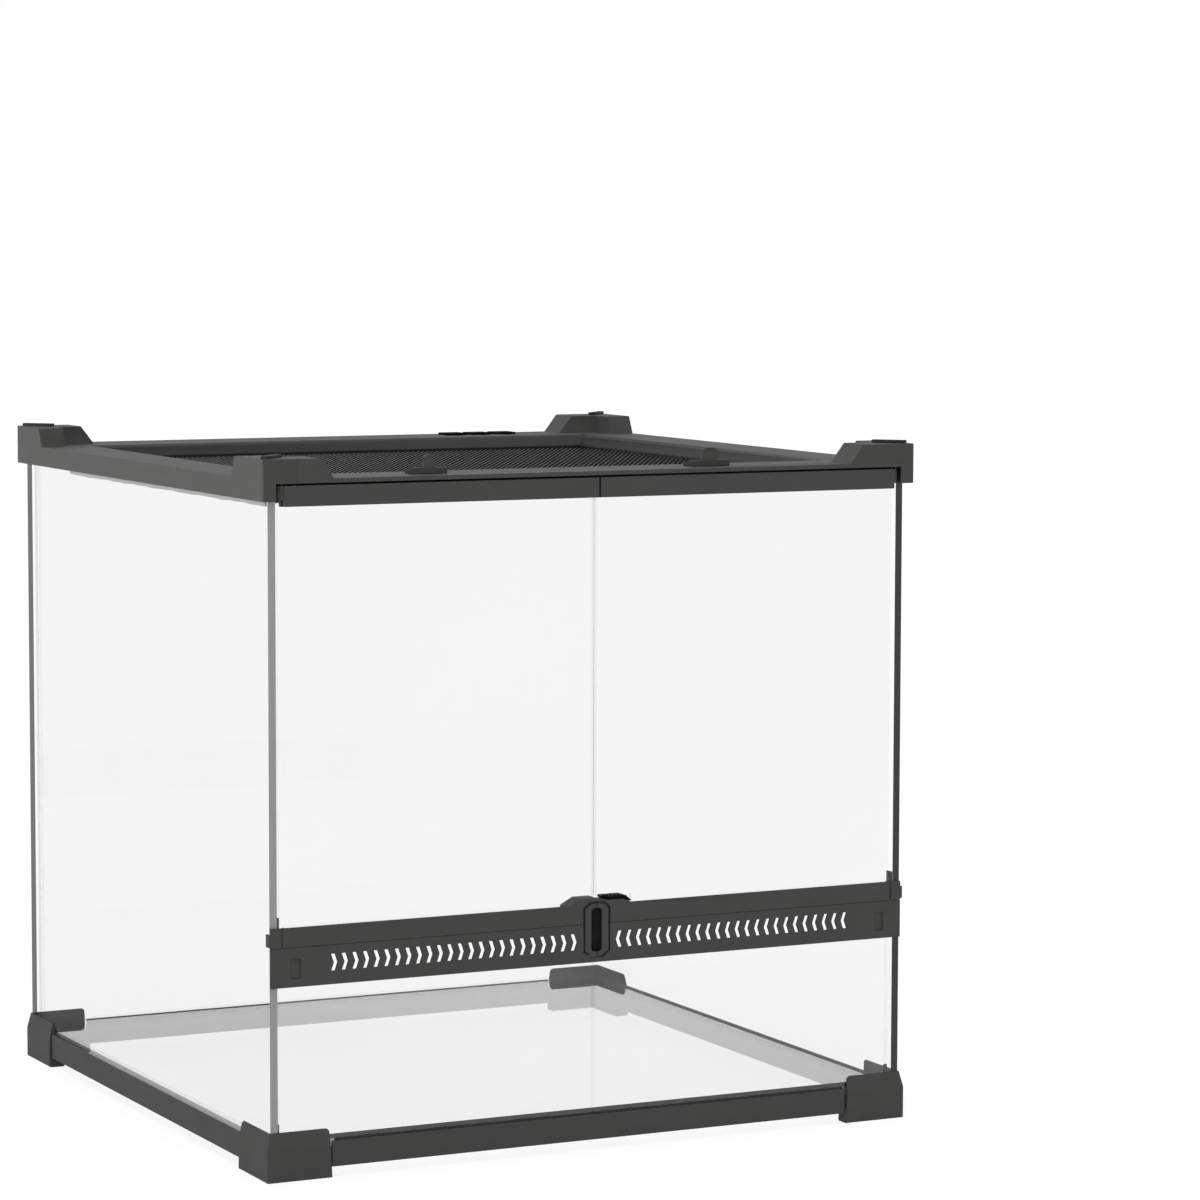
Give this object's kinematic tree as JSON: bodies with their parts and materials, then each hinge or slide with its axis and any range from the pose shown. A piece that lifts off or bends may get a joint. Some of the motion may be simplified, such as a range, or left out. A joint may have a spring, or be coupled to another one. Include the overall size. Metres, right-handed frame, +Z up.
{
  "type": "reptile terrarium",
  "caption": "Front-opening glass terrarium with a raised plastic base, two hinged doors over a vented lock bar, and a lift-out mesh screen in a turreted top frame.",
  "frame": {"origin": "on the floor, under the middle of the tank", "axes": "+X to the right seen from the front, +Y to the back, +Z up; the doors are at -Y"},
  "size_m": [0.46, 0.46, 0.451],
  "materials": {
    "graphite_plastic": "satin",
    "clear_glass": "polished",
    "silicone": "satin",
    "pad_rubber": "matte",
    "pin_steel": "satin",
    "black_plastic": "satin",
    "screen_paint": "satin",
    "screen_wire": "satin"
  },
  "bodies": {
    "tank": {"base_corner_front_left": "graphite_plastic", "base_corner_front_right": "graphite_plastic", "base_corner_rear_left": "graphite_plastic", "base_corner_rear_right": "graphite_plastic", "base_rail_front": "graphite_plastic", "base_rail_rear": "graphite_plastic", "base_rail_left": "graphite_plastic", "base_rail_right": "graphite_plastic", "floor_glass": "clear_glass", "glass_left": "clear_glass", "glass_right": "clear_glass", "glass_rear": "clear_glass", "glass_front_lower": "clear_glass", "silicone_beads": "silicone", "top_frame": "graphite_plastic", "stacking_pad_front_left": "pad_rubber", "stacking_pad_front_right": "pad_rubber", "stacking_pad_rear_left": "pad_rubber", "stacking_pad_rear_right": "pad_rubber", "vent_strip": "graphite_plastic", "strip_clip_left": "graphite_plastic", "strip_clip_right": "graphite_plastic", "hinge_pin_lower_left": "pin_steel", "hinge_pin_lower_right": "pin_steel"},
    "left_door": {"door_glass_left": "clear_glass", "door_head_rail_left": "graphite_plastic", "door_bar_left": "graphite_plastic", "hinge_pin_upper_left": "pin_steel"},
    "right_door": {"door_glass_right": "clear_glass", "door_head_rail_right": "graphite_plastic", "door_bar_right": "graphite_plastic", "hinge_pin_upper_right": "pin_steel"},
    "lock_bolt": {"lock_bolt": "black_plastic"},
    "screen": {"screen_frame": "screen_paint", "screen_mesh": "screen_wire"},
    "latch_left": {"screen_latch_left": "graphite_plastic"},
    "latch_right": {"screen_latch_right": "graphite_plastic"},
    "shutter_left": {"cable_shutter_left": "black_plastic"},
    "shutter_middle": {"cable_shutter_middle": "black_plastic"},
    "shutter_right": {"cable_shutter_right": "black_plastic"}
  },
  "joints": [
    {"name": "left_door_hinge", "type": "hinge", "parent": "tank", "child": "left_door", "pos_m": [-0.2154, -0.225, 0.29], "axis": [0, 0, -1], "range_deg": [0, 90]},
    {"name": "right_door_hinge", "type": "hinge", "parent": "tank", "child": "right_door", "pos_m": [0.2154, -0.225, 0.29], "axis": [0, 0, 1], "range_deg": [0, 90]},
    {"name": "bolt_slide", "type": "slide", "parent": "right_door", "child": "lock_bolt", "axis": [1, 0, 0], "range_m": [-0.006, 0]},
    {"name": "screen_lift", "type": "slide", "parent": "tank", "child": "screen", "axis": [0, 0, 1], "range_m": [0, 0.12]},
    {"name": "left_latch_slide", "type": "slide", "parent": "tank", "child": "latch_left", "axis": [0, -1, 0], "range_m": [-0.008, 0]},
    {"name": "right_latch_slide", "type": "slide", "parent": "tank", "child": "latch_right", "axis": [0, -1, 0], "range_m": [-0.008, 0]},
    {"name": "left_shutter_slide", "type": "slide", "parent": "tank", "child": "shutter_left", "axis": [0, -1, 0], "range_m": [0, 0.012]},
    {"name": "middle_shutter_slide", "type": "slide", "parent": "tank", "child": "shutter_middle", "axis": [0, -1, 0], "range_m": [0, 0.012]},
    {"name": "right_shutter_slide", "type": "slide", "parent": "tank", "child": "shutter_right", "axis": [0, -1, 0], "range_m": [0, 0.012]}
  ]
}
